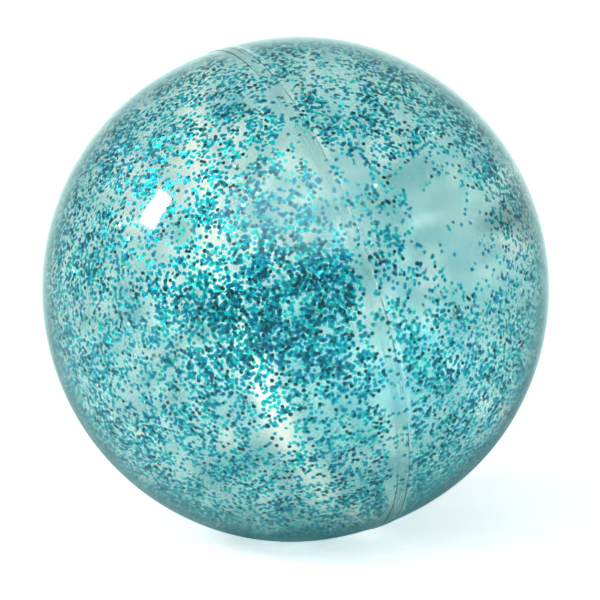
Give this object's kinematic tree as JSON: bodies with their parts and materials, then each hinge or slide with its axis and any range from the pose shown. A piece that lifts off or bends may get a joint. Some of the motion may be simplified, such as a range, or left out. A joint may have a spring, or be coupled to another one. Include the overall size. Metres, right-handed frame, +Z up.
{
  "type": "inflatable glitter beach ball",
  "caption": "Clear inflatable vinyl ball of two welded half shells with teal glitter flakes inside and a push-in inflation valve with a strapped stopper.",
  "frame": {"origin": "middle of the flat rest patch under the ball", "axes": "+Z up; -Y is the side that the picture shows; the seam's right pole, where the valve is, lies towards +X, turned 19.7 degrees towards +Y and raised 15 degrees"},
  "size_m": [0.2198, 0.2194, 0.219],
  "materials": {
    "clear_vinyl": "clear glossy PVC film",
    "valve_vinyl": "clear soft PVC moulding, slightly milky",
    "stopper_vinyl": "teal-tinted soft PVC moulding",
    "glitter": "teal metallised film flakes, mirror-like"
  },
  "bodies": {
    "ball": {"half_shell_left": "clear_vinyl", "half_shell_right": "clear_vinyl", "valve_flange": "valve_vinyl", "valve_skirt": "valve_vinyl", "glitter_flake_01": "glitter", "glitter_flake_02": "glitter", "glitter_flake_03": "glitter", "glitter_flake_04": "glitter", "glitter_flake_05": "glitter", "glitter_flake_06": "glitter", "glitter_flake_07": "glitter", "glitter_flake_08": "glitter", "glitter_flake_09": "glitter", "glitter_flake_10": "glitter", "glitter_flake_11": "glitter", "glitter_flake_12": "glitter", "glitter_flake_13": "glitter", "glitter_flake_14": "glitter", "glitter_flake_15": "glitter", "glitter_flake_16": "glitter", "glitter_flake_17": "glitter", "glitter_flake_18": "glitter", "glitter_flake_19": "glitter", "glitter_flake_20": "glitter", "glitter_flake_21": "glitter", "glitter_flake_22": "glitter", "glitter_flake_23": "glitter", "glitter_flake_24": "glitter", "glitter_flake_25": "glitter", "glitter_flake_26": "glitter", "glitter_flake_27": "glitter", "glitter_flake_28": "glitter", "glitter_flake_29": "glitter", "glitter_flake_30": "glitter", "glitter_flake_31": "glitter", "glitter_flake_32": "glitter", "glitter_flake_33": "glitter", "glitter_flake_34": "glitter", "glitter_flake_35": "glitter", "glitter_flake_36": "glitter", "glitter_flake_37": "glitter", "glitter_flake_38": "glitter", "glitter_flake_39": "glitter", "glitter_flake_40": "glitter", "glitter_flake_41": "glitter", "glitter_flake_42": "glitter", "glitter_flake_43": "glitter", "glitter_flake_44": "glitter", "glitter_flake_45": "glitter", "glitter_flake_46": "glitter", "glitter_flake_47": "glitter", "glitter_flake_48": "glitter", "glitter_flake_49": "glitter", "glitter_flake_50": "glitter", "glitter_flake_51": "glitter"},
    "valve": {"valve_stem": "valve_vinyl"},
    "stopper": {"valve_stopper": "stopper_vinyl", "stopper_strap": "stopper_vinyl"},
    "check_flap": {"valve_check_flap": "valve_vinyl"}
  },
  "joints": [
    {"name": "valve_pull", "type": "slide", "parent": "ball", "child": "valve", "axis": [0.9094, 0.3256, 0.2588], "range_m": [0, 0.015], "deforming": ["valve_skirt"]},
    {"name": "stopper_hinge", "type": "hinge", "parent": "valve", "child": "stopper", "pos_m": [0.09617, 0.04229, 0.13705], "axis": [-0.2437, -0.0872, 0.9659], "range_deg": [0, 110]},
    {"name": "check_flap_hinge", "type": "hinge", "parent": "valve", "child": "check_flap", "pos_m": [0.08127, 0.03377, 0.13253], "axis": [0.2437, 0.0872, -0.9659], "range_deg": [0, 55], "stiffness_Nm_per_rad": 0.00002}
  ]
}
